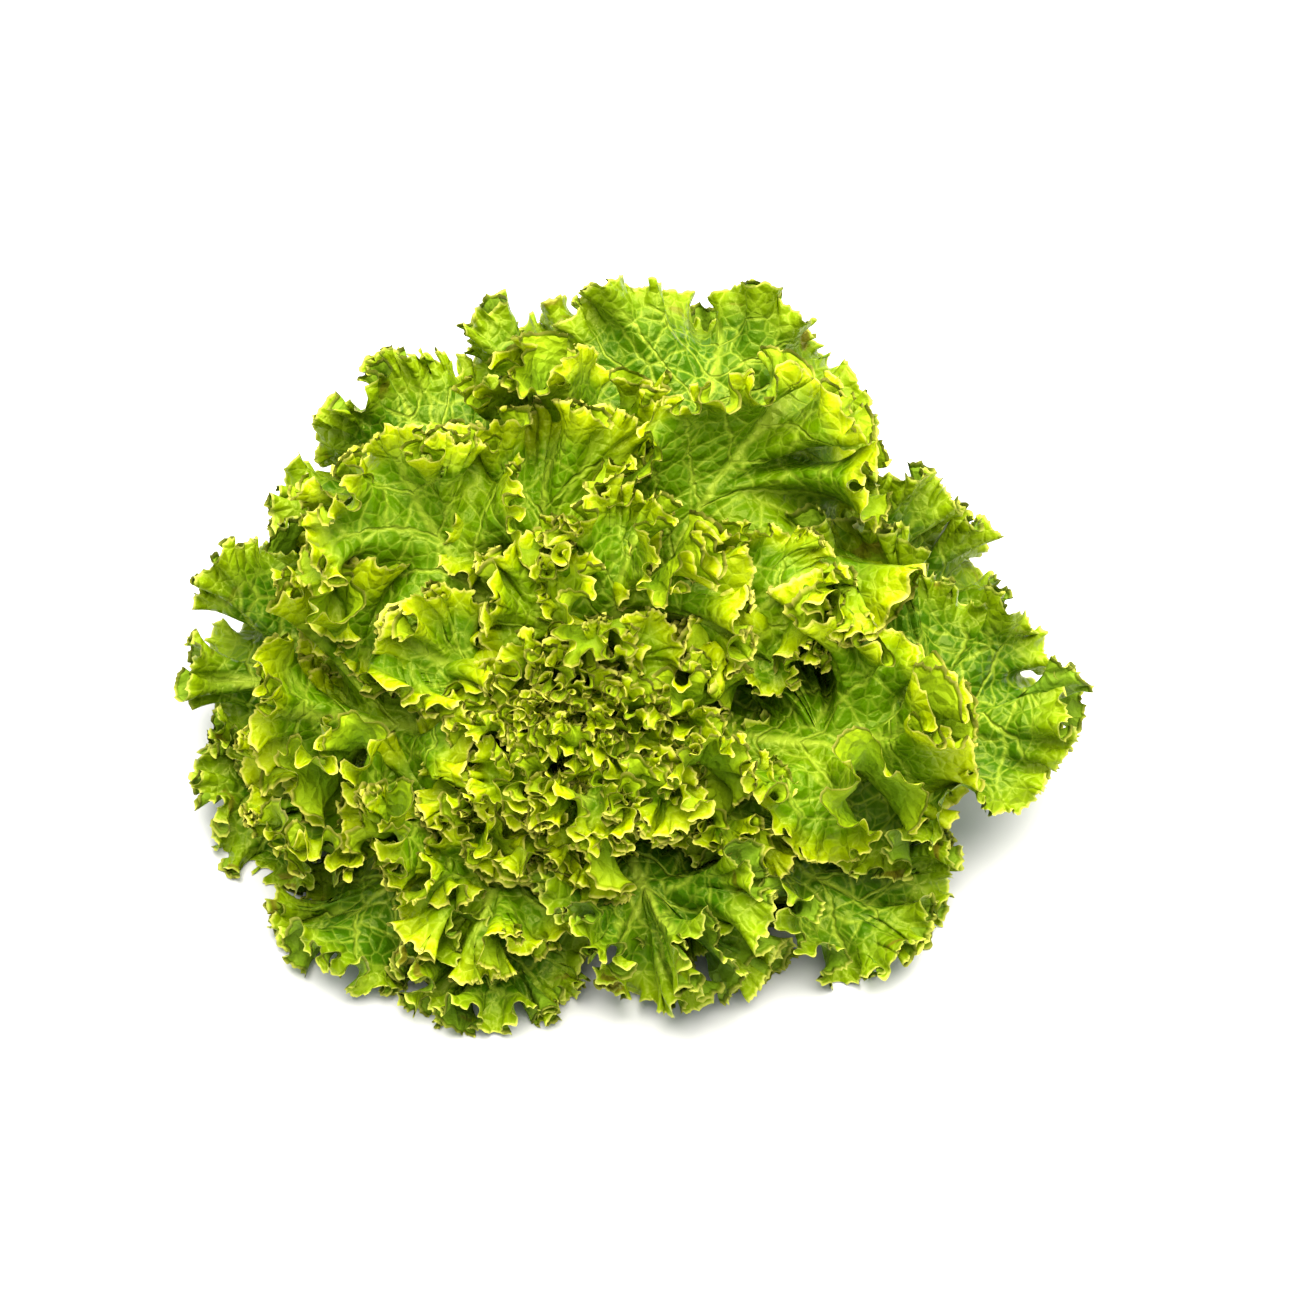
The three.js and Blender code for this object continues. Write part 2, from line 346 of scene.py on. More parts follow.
def bend(points, angle):
    """Turns every step between two rings by an angle about the ring's own direction,
    and adds the steps up again from the middle."""
    tangent, normal = frame_of(points)
    steps = np.diff(points, axis=0)
    tangent, normal, angle = tangent[:-1], normal[:-1], angle[1:, :, None]
    sideways = (steps * tangent).sum(-1, keepdims=True) * tangent
    ahead = steps - sideways
    size = np.linalg.norm(ahead, axis=-1, keepdims=True)
    turned = sideways + ahead * np.cos(angle) + normal * size * np.sin(angle)
    return np.concatenate([points[:1], points[:1] + np.cumsum(turned, 0)])


disc_turn, disc_radius = np.meshgrid(np.linspace(0, 2 * math.pi, 361), np.arange(1.0, 12))
disc = np.stack(
    [disc_radius * np.cos(disc_turn), disc_radius * np.sin(disc_turn), 0 * disc_turn], -1
)
dish = bend(disc, np.full(disc_turn.shape, 0.3))
print(f"a disc of 11 mm, bent by 0.3 at each ring, is {np.ptp(dish[..., 2]):.1f} mm deep")

# %% Ruffle it along the edge
LOOP_GAIN, LOOP_LIMIT = 0.1, 0.6  # of a wavelength over two pi


def ruffle(points, inset, phase, wavelength, steepest, depth, vigour):
    """Bends a zone along the edge up and down with the phase. The ring also slides
    along itself twice as often, by a tenth of the squared slope, which rounds the
    loops as a bent strip is rounded."""
    slope = steepest * smooth(1 - inset / depth) * vigour
    bent = bend(points, slope * np.sin(phase))
    steps = np.abs(np.diff(inset, axis=0, prepend=inset[:1]))
    height = np.cumsum(np.sin(slope) * steps, 0)
    unit_length = wavelength / (2 * math.pi)
    loop = np.minimum(LOOP_GAIN * (height / unit_length) ** 2, LOOP_LIMIT) * unit_length
    tangent, _ = frame_of(points)
    return bent - tangent * (loop * np.sin(2 * phase))[..., None]


def rim_length(points):
    """Distance along the outermost ring, from its first point."""
    steps = np.linalg.norm(np.diff(points[-1], axis=0), axis=-1)
    return np.concatenate([[0], np.cumsum(steps)])


crimped = ruffle(disc, 11 - disc_radius, 8 * disc_turn, 8.6, 1.0, 8.0, 1.0)
growth = rim_length(crimped)[-1] / rim_length(disc)[-1]
print(f"with eight ruffles, the rim of that disc is {growth:.1f} times as long")

# %% Keep the frills even
SMOOTHING = 31  # points of the rim to a mean
EVENNESS_RANGE = (0.3, 1.3)


def respace(points, *others):
    """Moves the columns of the grid so that they are evenly spaced along the rim: each
    is mixed from the two columns that lie on either side of its new place."""
    along = rim_length(points)
    goal = np.linspace(0, along[-1], len(along))
    place = np.interp(goal, along, np.arange(len(along)))
    low = np.minimum(place.astype(int), len(along) - 2)
    part = place - low
    values = mix(points[:, low], points[:, low + 1], part[None, :, None])
    return [values] + [mix(o[:, low], o[:, low + 1], part) for o in others]


def evenness(along, rim_before, usual):
    """How strongly a stretch of rim should still be frilled: 1 where it has grown as
    much as usual by now, more where it has grown less, and less where more."""
    step = along[-1] / (len(along) - 1)
    grown = step / np.maximum(np.gradient(rim_before), 1e-6)
    window = np.hanning(SMOOTHING + 2)[1:-1]
    wrapped = np.concatenate([grown[-SMOOTHING:], grown, grown[:SMOOTHING]])
    local = np.convolve(wrapped, window / window.sum(), "same")[SMOOTHING:-SMOOTHING]
    return np.clip(usual / local, *EVENNESS_RANGE)


gaps = np.diff(rim_length(respace(crimped)[0]))
print(f"after spacing it, steps along the rim are {gaps.min():.2f} to {gaps.max():.2f} mm")

# %% [markdown]
# ## The surface of one leaf
# A leaf is shaped from its largest forms to its smallest: a plain cupped sheet with
# lobes in its outline, the quilted blade and its folds, the frills, and last the
# teeth on the rim. Near the foot the edge stays calm, as on a real leaf.

# %% A plain sheet with a lobed outline
FOOT_START, FOOT_FADE = 0.93, 0.7  # where the calm foot begins, and over what angle
TROUGH, TROUGH_SHARE = 0.06, 0.3  # the sides lie on a sheet further in
LOBES = ((1.5, 14), (0.7, 6))  # height and spacing of the lobes of the outline
LOBE_LEVEL = 1.1  # taken off them, to keep the leaf's size
YOUNG_LOBE, GROWN_LOBE, LOBE_DEPTH = 1.5, 4.0, 15


def plain_sheet(rng, leaf, finest):
    """The leaf's rings on its nested sheet: flat coordinates turned into a reach and
    an azimuth, with the outline pushed in and out by cusps. Also those coordinates,
    the distance from the edge, how free the edge is, and the length along the rim."""
    share, size = leaf["share"], leaf["size"]
    outs, radius = ring_plan(leaf)
    turn, out = np.meshgrid(np.linspace(-math.pi, math.pi, finest), outs)
    free = smooth((math.pi * FOOT_START - np.abs(turn)) / FOOT_FADE)
    inset = (1 - out) * radius
    edge = turn[-1] * radius
    lobed = sum(high * cusps(rng, edge, spacing * size) for high, spacing in LOBES)
    zone = smooth(1 - inset / (LOBE_DEPTH * size))
    lobed = (lobed - LOBE_LEVEL) * mix(YOUNG_LOBE, GROWN_LOBE, share) * zone * free
    x, y = outline_point(leaf, turn, out * (1 + lobed / radius))
    reach = BASE_REACH + y
    about = np.full_like(x, leaf["azimuth"])
    folded = TROUGH * float(smooth(share / TROUGH_SHARE)) * (x / leaf["width"]) ** 2
    points = sheet_point(share - folded, reach, about + x / girth(share, reach, about))
    rim = np.broadcast_to(rim_length(points), x.shape)
    return points, x, y, inset, out, free, rim


sample = leaves[-1]
sheet = plain_sheet(np.random.default_rng(1), sample, 500)[0]
print(f"the plain rim of {sample['node']} is {rim_length(sheet)[-1]:.0f} mm long")

# %% The quilted blade and its curled edge
QUILT_CELL, QUILT_HEIGHT = 16.0, 1.3
QUILT_EDGE, QUILT_FOOT, QUILT_FADE = 9, 20, 20  # it ends at the edge and at the foot
FOLD_LENGTH, FOLD_HEIGHT, FOLD_GROWTH = 42, 8, 1.2
CURL_SPACING = 26  # along the edge, and how deep in it begins
CURL_YOUNG, CURL_GROWN, CURL_LOBES = 0.05, 0.15, 0.45


def fold_blade(rng, leaf, points, x, y, inset, out):
    """Moves the sheet along its normal, up by smooth hills and down in the cells of
    a quilt."""
    size = leaf["size"]
    cells = quilt(rng, x, y, QUILT_CELL * size)
    relief = cells * smooth(inset / QUILT_EDGE) * smooth((y - QUILT_FOOT) / QUILT_FADE)
    folds = hills(rng, x, y, FOLD_LENGTH * size) * smooth(out * FOLD_GROWTH)
    folds = folds * FOLD_HEIGHT * size
    _, normal = frame_of(points)
    return points + normal * (folds - relief * QUILT_HEIGHT * size)[..., None]


def curl_edge(rng, leaf, points, inset, free):
    """Bends the edge outwards, more on an older leaf, by an amount that wanders."""
    reach = CURL_SPACING * leaf["size"]
    lobes = wander(rng, rim_length(points), reach)
    curl = mix(CURL_YOUNG, CURL_GROWN, leaf["share"]) + CURL_LOBES * lobes
    return bend(points, -curl * smooth(1 - inset / reach) * free)


print("curl of a young and a grown edge:", CURL_YOUNG, CURL_GROWN)

# %% Frills of four sizes
WAVES = (
    # wavelength, steepest angle, depth from the edge, and how many times as long as
    # it was the rim usually is by then, in mm and radians
    (72.0, 0.60, 72.0, 1.1),
    (32.0, 0.62, 34.0, 1.6),
    (13.0, 1.0, 10.5, 2.3),
    (6.5, 0.42, 4.0, 4.0),
)
DRIFT, DRIFT_SPACING = 0.6, 1.4  # waves run early or late
SKEW, SKEW_SPACING = 0.15, 1.5  # they also stand askew to the edge
UNEVEN, UNEVEN_SPACING = 0.4, 1.7  # some waves are steeper than others
REGION, REGION_SPACING = 0.4, 80  # and so are whole stretches
OUTER_CALM, CALM_START, CALM_SPREAD = 0.8, 0.68, 0.1  # old leaves frill less
CALM_WAVER, CALM_RATE = 0.3, 1.9
BROAD_GAIN, BROAD_LENGTH, BROAD_SPREAD = 0.3, 85, 30  # long dome leaves wave more
WIDE_WAVE = 20  # and only waves above this length


def frill_edge(rng, leaf, points, x, y, inset, free, rim):
    """Ruffles the edge with one size of wave after another. The phase is the distance
    along the rim with smooth noise added, and the steepness is a product of noises,
    of the leaf's own calm and of how much the rim should still grow."""
    share, size = leaf["share"], leaf["size"]
    calm = mix(1.0, OUTER_CALM, float(smooth((share - CALM_START) / CALM_SPREAD)))
    calm *= 1 - CALM_WAVER * max(0.0, math.sin(CALM_RATE * leaf["index"]))
    broad = float(smooth((leaf["length"] - BROAD_LENGTH) / BROAD_SPREAD))
    broad *= leaf["group"] == "middle"
    for wavelength, steepest, depth, usual in WAVES:
        length = wavelength * size
        steepest *= 1 + BROAD_GAIN * broad * (wavelength > WIDE_WAVE)
        points, x, y, free, rim = respace(points, x, y, free, rim)
        along = rim_length(points)
        drift = wander(rng, along, length * DRIFT_SPACING)
        skew = hills(rng, x, y, length * SKEW_SPACING)
        phase = 2 * math.pi * (along / length + DRIFT * drift + SKEW * skew)
        vigour = (1.0 + UNEVEN * wander(rng, along, length * UNEVEN_SPACING)) * free
        vigour = vigour * evenness(along, rim[-1], usual) * calm
        vigour = vigour * (1 + REGION * wander(rng, along, REGION_SPACING * size))
        points = ruffle(points, inset, phase, length, steepest, depth * size, vigour)
    return respace(points, x, y, free)


print("lengths of the waves in mm:", [wave[0] for wave in WAVES])

# %% Teeth on the rim, and the whole surface
FIRST_SEED = 1000
TEETH = ((1.5, 1.7), (1.2, 4.2))  # height and spacing of the fine and broad teeth
YOUNG_TEETH = 0.7
TEETH_RINGS = ((-1, 1.0), (-2, 0.5), (-3, 0.2))  # the share of a tooth in each ring
LOWEST_SURFACE = 0.6  # above the table


def cut_teeth(rng, leaf, points, free):
    """Evens out the rings with weights of 1, 2 and 1, then pushes the rim outwards by
    cusps of two sizes, and the two rings behind it a little."""
    points = (np.roll(points, 1, 1) + 2 * points + np.roll(points, -1, 1)) / 4
    along, size = rim_length(points), leaf["size"]
    tooth = sum(high * cusps(rng, along, gap * size**0.5) for high, gap in TEETH)
    tooth = tooth * free[-1] * size * mix(YOUNG_TEETH, 1.0, leaf["share"])
    outward = unit(points[-1] - points[-2])
    for ring, weight in TEETH_RINGS:
        points[ring] += outward * (weight * tooth)[:, None]
    return points


def leaf_surface(leaf, finest):
    """All points of a leaf on the finest grid, with what its finish needs to know."""
    rng = np.random.default_rng(FIRST_SEED + leaf["index"])
    points, x, y, inset, out, free, rim = plain_sheet(rng, leaf, finest)
    points, x, y, free, rim = respace(points, x, y, free, rim)
    points = fold_blade(rng, leaf, points, x, y, inset, out)
    points = curl_edge(rng, leaf, points, inset, free)
    points, x, y, free = frill_edge(rng, leaf, points, x, y, inset, free, rim)
    points = cut_teeth(rng, leaf, points, free)
    _, normal = frame_of(points)
    points[..., 2] = np.maximum(points[..., 2], LOWEST_SURFACE)
    return dict(points=points, normal=normal, x=x, y=y, inset=inset)


grown = rim_length(leaf_surface(sample, 2000)["points"])[-1]
print(f"frilled, the rim of {sample['node']} is {grown:.0f} mm long")

# %% [markdown]
# ## From a surface to a leaf with two faces
# A leaf is a fraction of a millimetre thick. Its upper and lower face are the same
# grid moved apart along the normal, and a midrib stands out below. Both share the
# points of the outermost ring, so a leaf is one closed body with a sharp rim. Between
# a coarse ring and one with twice as many points, each coarse step has three faces.

# %% Faces from ring to ring
CENTRE_INSET = 50  # how far from the edge the middle of the blade counts as


def ring_faces(start_in, n_in, start_out, n_out):
    """Faces between two rings: two for each step if both have as many points, else
    three for each step of the inner one."""
    i = np.arange(n_in)
    a, b = start_in + i, start_in + (i + 1) % n_in
    if n_in == n_out:
        c, d = start_out + i, start_out + (i + 1) % n_out
        return np.concatenate([np.stack([a, b, d], 1), np.stack([a, d, c], 1)])
    c, d, e = (start_out + (2 * i + k) % n_out for k in range(3))
    return np.concatenate(
        [np.stack([a, d, c], 1), np.stack([a, b, d], 1), np.stack([b, e, d], 1)]
    )


def face_of_leaf(surface, offset, steps):
    """One face of the leaf: its points, what they carry, its triangles, and the start
    of its last ring. A fan round the mean of the first ring closes the middle."""
    centre = surface["points"][0].mean(0)
    carried = [[[0, surface["y"][0].mean(), CENTRE_INSET]]]
    points, faces = [centre[None]], []
    start, count, total = 0, 1, 1
    for ring, step in enumerate(steps):
        keep = slice(0, None, step)
        moved = surface["normal"][ring, keep] * offset[ring, keep, None]
        points.append(surface["points"][ring, keep] + moved)
        carried.append(np.stack([surface[k][ring, keep] for k in ("x", "y", "inset")], 1))
        size = len(points[-1])
        if count == 1:
            i = np.arange(size)
            faces.append(np.stack([0 * i, total + (i + 1) % size, total + i], 1))
        else:
            faces.append(ring_faces(start, count, total, size))
        start, count, total = total, size, total + size
    return np.concatenate(points), np.concatenate(carried), np.concatenate(faces), start


print("faces between rings of 8 and 16 points:", len(ring_faces(0, 8, 8, 16)))

# %% Two faces and one rim
THICKNESS, THINNING = 0.3, 1.2  # it thins this close to the edge
RIB_WIDTH, RIB_HEIGHT, RIB_TAPER = 3.5, 3.0, 1.5
LOWEST_POINT = 0.2  # above the table
UV_SCALE = 0.01  # one unit of the flat map is 100 mm


def two_faces(leaf, surface):
    """The points and triangles of a closed leaf, what the points carry, which are on
    the lower face, and where the shared ring starts and ends. The rib is a bell curve
    across the leaf that tapers from the foot to the tip."""
    bell = np.exp(-((surface["x"] / RIB_WIDTH) ** 2))
    foot = np.clip(1 - surface["y"] / leaf["length"], 0, 1) ** RIB_TAPER
    half = THICKNESS * smooth(surface["inset"] / THINNING) / 2
    rib = RIB_HEIGHT * leaf["share"] * bell * foot
    steps = strides(leaf, surface["inset"][:, 0])
    top, top_info, top_faces, rim = face_of_leaf(surface, -half, steps)
    low, low_info, low_faces, low_rim = face_of_leaf(surface, half + rib, steps)
    total = len(top)
    shared = low_faces >= low_rim
    low_faces = np.where(shared, low_faces - low_rim + rim, low_faces + total)
    verts = np.concatenate([top, low[:low_rim]])
    verts[:, 2] = np.maximum(verts[:, 2], LOWEST_POINT)
    faces = np.concatenate([top_faces[:, ::-1], low_faces])
    info = np.concatenate([top_info, low_info[:low_rim]]).astype(np.float32)
    under = np.repeat([0.0, 1.0], [total, low_rim])
    return verts, faces, info, under, (rim, total)


def new_mesh(name, verts, faces):
    """A smoothly shaded mesh from points in millimetres and their triangles."""
    mesh = bpy.data.meshes.new(name)
    mesh.from_pydata(verts * MM, [], faces)
    mesh.polygons.foreach_set("use_smooth", np.ones(len(faces), bool))
    return mesh


def add_attribute(mesh, name, values):
    """Gives every point of a mesh a number that its finish reads by name."""
    layer = mesh.attributes.new(name, "FLOAT", "POINT")
    layer.data.foreach_set("value", values.astype(np.float32))


def leaf_mesh(name, leaf, surface):
    """A closed leaf, sharp along its rim, with its flat coordinates as a UV map."""
    verts, faces, info, under, (rim_start, rim_end) = two_faces(leaf, surface)
    mesh = new_mesh(name, verts, faces)
    ends = np.zeros(2 * len(mesh.edges), np.int32)
    mesh.edges.foreach_get("vertices", ends)
    on_rim = ((ends >= rim_start) & (ends < rim_end)).reshape(-1, 2).all(1)
    mesh.edges.foreach_set("use_edge_sharp", on_rim)
    corner = np.zeros(len(mesh.loops), np.int32)
    mesh.loops.foreach_get("vertex_index", corner)
    uv = mesh.uv_layers.new(name="leaf")
    uv.data.foreach_set("uv", (info[corner, :2] * UV_SCALE).ravel())
    add_attribute(mesh, "inset", info[:, 2])
    add_attribute(mesh, "under", under)
    return mesh


print(f"a leaf is {THICKNESS} mm thick, and up to {THICKNESS + RIB_HEIGHT} at its rib")

# %% [markdown]
# ## Finishes written as sums
# Blender's shader maths is a web of nodes. A small class gives a socket Python's
# operators, so that a formula can be read as one. Any other node comes from one
# method that takes its type, its settings and its values.

# %% Node maths as Python expressions
class Wire:
    """One output socket, with Python's operators adding Math nodes behind it."""

    def __init__(self, tree, socket):
        self.tree, self.socket = tree, socket

    def __add__(self, other):
        return calculate("ADD", self, other)

    __radd__ = __add__

    def __sub__(self, other):
        return calculate("SUBTRACT", self, other)

    def __rsub__(self, other):
        return calculate("SUBTRACT", other, self)

    def __mul__(self, other):
        return calculate("MULTIPLY", self, other)

    __rmul__ = __mul__

    def absolute(self):
        """The size of the number, whatever its sign."""
        return calculate("ABSOLUTE", self)

    def or_more(self, other):
        """The larger of two numbers."""
        return calculate("MAXIMUM", self, other)

    def ramp(self, low, high):
        """0 at low, 1 at high, and straight between them."""
        return calculate("MULTIPLY", self - low, 1 / (high - low), clamp=True)


def fill(tree, slot, value):
    """Links a wire to a socket, or sets the socket to a plain value."""
    if isinstance(value, Wire):
        tree.links.new(value.socket, slot)
    else:
        slot.default_value = value


def calculate(operation, *values, clamp=False):
    """One Math node on its values, of which at least one is a wire."""
    tree = next(value.tree for value in values if isinstance(value, Wire))
    node = tree.nodes.new("ShaderNodeMath")
    node.operation = operation
    node.use_clamp = clamp
    for slot, value in zip(node.inputs, values):
        fill(tree, slot, value)
    return Wire(tree, node.outputs[0])


class Finish:
    """A material under construction, with one method for any node but Math."""

    def __init__(self, name):
        self.material = bpy.data.materials.new(name)
        self.material.use_nodes = True
        self.tree = self.material.node_tree
        self.tree.nodes.clear()

    def node(self, kind, settings=None, output=0, **values):
        """Adds a node, makes its settings, then fills its sockets, each named by its
        label or by an underscore and its number. Returns one output, or all if None."""
        node = self.tree.nodes.new("ShaderNode" + kind)
        for key, value in (settings or {}).items():
            setattr(node, key, value)
        for key, value in values.items():
            slot = node.inputs[int(key[1:]) if key[0] == "_" else key.replace("_", " ")]
            fill(self.tree, slot, value)
        wires = [Wire(self.tree, socket) for socket in node.outputs]
        return wires if output is None else wires[output]

    def noise(self, vector, scale, detail, dimensions="3D", output=0):
        """Soft random blots of a vector, as a number or as the colour of output 1."""
        settings = {"noise_dimensions": dimensions}
        return self.node("TexNoise", settings, output, Vector=vector, Scale=scale, Detail=detail)

    def blend(self, share, first, second):
        """The colour that is `share` of the way from the first to the second."""
        return self.node("Mix", {"data_type": "RGBA"}, 2, _0=share, _6=first, _7=second)

    def done(self, shader):
        """The material, once its shader is linked to its output."""
        self.node("OutputMaterial", None, None, Surface=shader)
        return self.material


def screen(red, green, blue):
    """A colour given as it looks on a screen, 0 to 255, as the shader wants it."""
    shades = np.array([red, green, blue]) / 255
    low = shades / 12.92
    high = ((shades + 0.055) / 1.055) ** 2.4
    return (*np.where(shades <= 0.04045, low, high).tolist(), 1.0)


print("half grey on a screen is this much light:", round(screen(128, 128, 128)[0], 3))

# %% [markdown]
# ## Leaf green
# A lettuce leaf is thin enough for light to come through it, so its surface is
# mixed with a translucent one. Its colour goes from a deep green in the middle of
# the blade to a yellow frill and a pale line on the very edge. That step is partly the
# leaf's own colour and partly painted shade and light: the blade, which lies deep among
# the leaves, is painted darker, and the frills standing out on top lighter and yellower.
# Pale veins branch over it, and the blade swells between them, by so little that a bump
# can make it.

# %% Veins of a leaf
VEIN_WOBBLE = 0.05  # how far veins stray, in units of the flat map
BLADE_ZONE = (4.0, 18.0)  # how far from the edge large veins begin, in mm
MIDRIB_EDGE = (0.006, 0.022)
SIDE_SLANT, SIDE_VEINS, SIDE_EDGE = 0.9, 6.5, (0.02, 0.07)
LARGE_CELLS, LARGE_EDGE, LARGE_PILLOW = 8.0, (0.01, 0.07), (0.0, 0.42)
SMALL_CELLS, SMALL_EDGE, SMALL_PILLOW = 190.0, (0.01, 0.10), (0.0, 0.4)


def leaf_veins(f, flat, here, inset):
    """How much a place is vein, and how high the blade stands there. The midrib lies
    where x is near 0, side veins are a slanting coordinate folded to and fro, and the
    nets are the borders of random cells, with the blade swollen between them."""
    wobble = f.noise(flat, 9.0, 2.0, "2D", output=1)
    shifted = f.node(
        "VectorMath", {"operation": "MULTIPLY_ADD"},
        _0=wobble, _1=(VEIN_WOBBLE, VEIN_WOBBLE, 0), _2=flat,
    )
    x, y, _ = f.node("SeparateXYZ", None, None, Vector=shifted)
    across = (x - VEIN_WOBBLE / 2).absolute()
    border = {"feature": "DISTANCE_TO_EDGE"}
    flat_border = {"voronoi_dimensions": "2D", **border}
    large = f.node("TexVoronoi", flat_border, Vector=shifted, Scale=LARGE_CELLS)
    small = f.node("TexVoronoi", border, Vector=here, Scale=SMALL_CELLS)
    on_blade = inset.ramp(*BLADE_ZONE)
    folded = calculate("PINGPONG", (y - across * SIDE_SLANT) * SIDE_VEINS, 0.5)
    side = (1 - folded.ramp(*SIDE_EDGE)) * on_blade
    net = (1 - large.ramp(*LARGE_EDGE)) * on_blade
    fine = 1 - small.ramp(*SMALL_EDGE)
    midrib = (1 - across.ramp(*MIDRIB_EDGE)) * on_blade
    veins = (side * 0.9).or_more(net * 0.8).or_more(fine * 0.4).or_more(midrib)
    swell = large.ramp(*LARGE_PILLOW) * on_blade * 0.4 + small.ramp(*SMALL_PILLOW) * 0.24
    return veins, swell - side * 0.2


print("cells of the large net are about", 100 / LARGE_CELLS, "mm wide")

# %% Leaf tissue
PALE_VEIN = screen(188, 208, 60)  # on the upper face
DEEP_VEIN = screen(120, 150, 20)  # on the lower face
FLECK = screen(110, 86, 24)
# the frill's share is partly the leaf's own colour and partly painted light
FRILL_AND_LIGHT_SHARE, MOTTLE_SHARE, UNDER_SHARE, RIM_SHARE = 0.85, 0.7, 0.5, 0.9
FLECK_EDGE, FLECK_ZONE = (0.66, 0.72), (5.0, 14.0)
RIM_ZONE = (0.3, 0.9)  # mm from the edge
SHEEN_TINT = (1.0, 1.0, 0.25, 1)
GLOW = 0.14  # the share of light that goes through


def leaf_finish(name, blade, frill, rim, under_tint, frill_width, vein_share, fleck_share):
    """Blade green, yellower towards the frill, with pale veins, a few brown flecks
    near the edge and a pale rim. The deep green of the blade is partly painted shade,
    and the lighter, yellower frill partly painted light. The lower face is paler and
    rougher, and hollow where the upper one swells."""
    f = Finish(name)
    flat = f.node("UVMap", {"uv_map": "leaf"})
    here = f.node("TexCoord", output=3)
    inset = f.node("Attribute", {"attribute_name": "inset"}, 2)
    under = f.node("Attribute", {"attribute_name": "under"}, 2)
    mottle = f.noise(flat, 4.0, 3.0, "2D")
    blots = f.noise(flat, 11.0, 4.0, "2D")
    grain = f.noise(here, 420.0, 2.0)
    veins, swell = leaf_veins(f, flat, here, inset)

    # towards the edge the colour turns from blade green to frill yellow: partly the leaf's own
    # margin, partly painted light on the frills and painted shade on the blade deep in the head
    frill_and_painted_light = (1 - inset.ramp(0.0, frill_width)) * FRILL_AND_LIGHT_SHARE
    tone = calculate("ADD", frill_and_painted_light, (mottle - 0.5) * MOTTLE_SHARE, clamp=True)
    colour = f.blend(tone, blade, frill)
    colour = f.blend(under * UNDER_SHARE, colour, under_tint)
    colour = f.blend(veins * (1 - under) * vein_share, colour, PALE_VEIN)
    colour = f.blend(veins * under * UNDER_SHARE, colour, DEEP_VEIN)
    flecks = blots.ramp(*FLECK_EDGE) * (1 - inset.ramp(*FLECK_ZONE))
    colour = f.blend(flecks * fleck_share, colour, FLECK)
    colour = f.blend((1 - inset.ramp(*RIM_ZONE)) * RIM_SHARE, colour, rim)

    relief = (swell + mottle * 0.5 + grain * 0.2) * (1 - under * 2)
    bump = f.node("Bump", Strength=0.8, Distance=0.0036, Height=relief)
    surface = f.node(
        "BsdfPrincipled", Base_Color=colour, Normal=bump,
        Roughness=0.28 + under * 0.22 + mottle * 0.12,
        Specular_Tint=SHEEN_TINT, Specular_IOR_Level=0.38,
    )
    through = f.node("BsdfTranslucent", Color=frill)
    return f.done(f.node("MixShader", _0=GLOW, _1=surface, _2=through))


LEAF_COLOURS = {
    # the blade greens are partly painted shade, and the frill colours partly painted light
    # blade, frill, rim and lower face, then the frill's width in mm, and the shares
    # of veins and of flecks
    "heart": ((106, 138, 0), (188, 202, 0), (219, 213, 96), (140, 172, 24), 9.0, 0.4, 0.0),
    "middle": ((82, 121, 0), (182, 197, 0), (218, 212, 94), (124, 160, 20), 14.0, 0.48, 0.0),
    "outer": ((60, 101, 2), (140, 165, 4), (203, 208, 86), (92, 132, 32), 17.0, 0.5, 0.7),
}
FINISHES = {}
for group, values in LEAF_COLOURS.items():
    colours = [screen(*shade) for shade in values[:4]]
    FINISHES[group] = leaf_finish(group + "_leaf_green", *colours, *values[4:])
print("leaf finishes:", [finish.name for finish in FINISHES.values()])

# %% [markdown]
# ## The leaves themselves
# Each leaf stands for the plain sheet of its node in the frame. The heart leaves are
# small, and so is all that is on them.

# %% Put a piece in its node's place
def place_piece(mesh, node, material, slot):
    """Puts a mesh in place of a node of the frame, and counts its triangles."""
    piece = bpy.data.objects.new(mesh.name, mesh)
    bpy.context.scene.collection.objects.link(piece)
    mesh.materials.append(material)
    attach(piece, "root")
    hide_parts(node)
    return len(mesh.polygons)


print("nodes to replace:", len(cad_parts))

# %% Make the leaves
FINEST = {"heart": 1184, "middle": 1952, "outer": 2112}  # points in the outermost ring
totals = dict.fromkeys(FINEST, 0)
for leaf in leaves:
    group = leaf["group"]
    mesh = leaf_mesh("frilly_" + leaf["node"], leaf, leaf_surface(leaf, FINEST[group]))
    totals[group] += place_piece(mesh, leaf["node"], FINISHES[group], group + "_leaf")
print("triangles in the leaves:", totals, "in all", sum(totals.values()))

# %% [markdown]
# ## The cut stem
# Turned over, the head shows its knife cut: a level, pale face with a ring of vessels
# in it. Above it the stem is ribbed, and carries the scars of leaves. One profile goes
# round a leaning line, from the middle of the cut face out to its edge, up the side
# and over the rounded top, as one closed skin.

# %% A closed skin from rings
def closed_skin(name, rings):
    """A closed mesh from a grid of rings whose first and last ones shrink to a point:
    a fan at each end and two triangles for each step between."""
    count, around = rings.shape[:2]
    verts = rings[1:-1].reshape(-1, 3)
    verts = np.concatenate([rings[:1, 0], verts, rings[-1:, 0]])
    i = np.arange(around)
    after = (i + 1) % around
    parts = [np.stack([0 * i, 1 + after, 1 + i], 1)]
    for ring in range(count - 3):
        a, b = 1 + ring * around + i, 1 + ring * around + after
        parts.append(np.stack([a, b, b + around], 1))
        parts.append(np.stack([a, b + around, a + around], 1))
    last = 1 + (count - 3) * around
    parts.append(np.stack([last + i, last + after, 0 * i + len(verts) - 1], 1))
    return new_mesh(name, verts, np.concatenate(parts))


